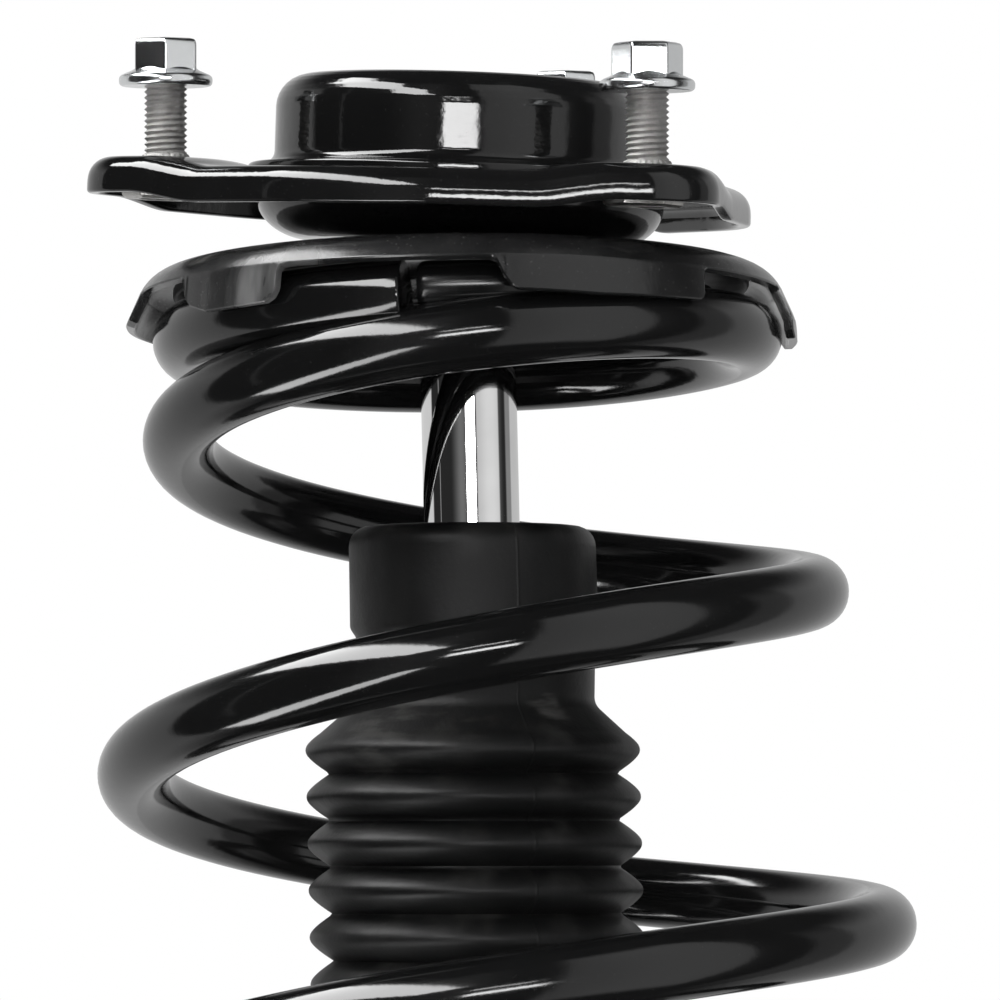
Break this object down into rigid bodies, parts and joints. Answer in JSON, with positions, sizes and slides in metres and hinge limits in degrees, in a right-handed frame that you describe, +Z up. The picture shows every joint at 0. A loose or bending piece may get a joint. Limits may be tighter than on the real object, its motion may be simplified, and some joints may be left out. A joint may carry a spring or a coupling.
{
  "type": "strut assembly",
  "caption": "Front suspension strut: three-eared top mount, growing-radius coil spring, rod with dust boot, twin-tube damper and knuckle clevis.",
  "frame": {"origin": "on the piston rod's axis, at the plane of the mount's three ears", "axes": "+Z up the piston rod, +X towards the knuckle clevis, -Y the front"},
  "size_m": [0.1937, 0.1946, 0.5834],
  "materials": {
    "mount_paint": "gloss black paint",
    "seat_paint": "satin black paint, a little dusty",
    "spring_paint": "gloss black powder coat",
    "damper_paint": "semi-gloss black paint",
    "bolt_plating": "bright zinc plating",
    "hard_chrome": "polished hard chrome",
    "bearing_steel": "ground bearing steel",
    "bare_steel": "bare steel, lightly oiled",
    "boot_rubber": "matt black rubber with a little dust",
    "rubber": "matt black rubber",
    "bump_foam": "yellow microcellular foam",
    "plastic": "matt black moulding"
  },
  "bodies": {
    "mount": {"mount_plate": "mount_paint", "mount_upper_cup": "mount_paint", "mount_lower_cup": "mount_paint", "mount_rubber": "rubber", "flange_bolt_left": "bolt_plating", "flange_bolt_right": "bolt_plating", "flange_bolt_rear": "bolt_plating", "weld_nut_left": "bare_steel", "weld_nut_right": "bare_steel", "weld_nut_rear": "bare_steel", "bearing_outer_race": "bearing_steel"},
    "ball_cage": {"bearing_ball_cage": "bearing_steel"},
    "rod_and_seat": {"bearing_inner_race": "bearing_steel", "bearing_spacer": "bare_steel", "piston_rod": "hard_chrome", "rod_washer": "bolt_plating", "rod_nut": "bolt_plating", "upper_spring_seat": "seat_paint", "upper_isolator": "rubber", "coil_spring": "spring_paint", "rebound_stop": "plastic", "piston": "bare_steel", "piston_band": "plastic", "piston_nut": "bolt_plating"},
    "damper": {"damper_tube": "damper_paint", "pressure_tube": "bare_steel", "base_valve": "bare_steel", "bottom_cap": "damper_paint", "gland_cap": "bare_steel", "rod_seal": "rubber", "rod_guide": "bare_steel", "lower_spring_seat": "damper_paint", "lower_isolator": "rubber", "knuckle_bracket": "damper_paint", "link_bracket": "damper_paint", "brake_hose_bracket": "damper_paint"},
    "boot": {"dust_boot": "boot_rubber", "bump_stop": "bump_foam"}
  },
  "joints": [
    {"name": "steer", "type": "hinge", "parent": "mount", "child": "rod_and_seat", "pos_m": [0, 0, -0.008], "axis": [0, 0, 1], "range_deg": [-40, 40]},
    {"name": "cage_turn", "type": "hinge", "parent": "mount", "child": "ball_cage", "pos_m": [0, 0, -0.008], "axis": [0, 0, 1], "range_deg": [-20, 20]},
    {"name": "damper_slide", "type": "slide", "parent": "rod_and_seat", "child": "damper", "axis": [0, 0, 1], "range_m": [0, 0.105], "stiffness_N_per_m": 25000, "springref_m": -0.03, "deforming": ["coil_spring"]},
    {"name": "boot_slide", "type": "slide", "parent": "damper", "child": "boot", "axis": [0, 0, 1], "range_m": [-0.07875, 0], "deforming": ["dust_boot"]}
  ],
  "couplings": [
    {"joint": "cage_turn", "follows": "steer", "ratio": 0.5},
    {"joint": "boot_slide", "follows": "damper_slide", "ratio": -0.75}
  ]
}
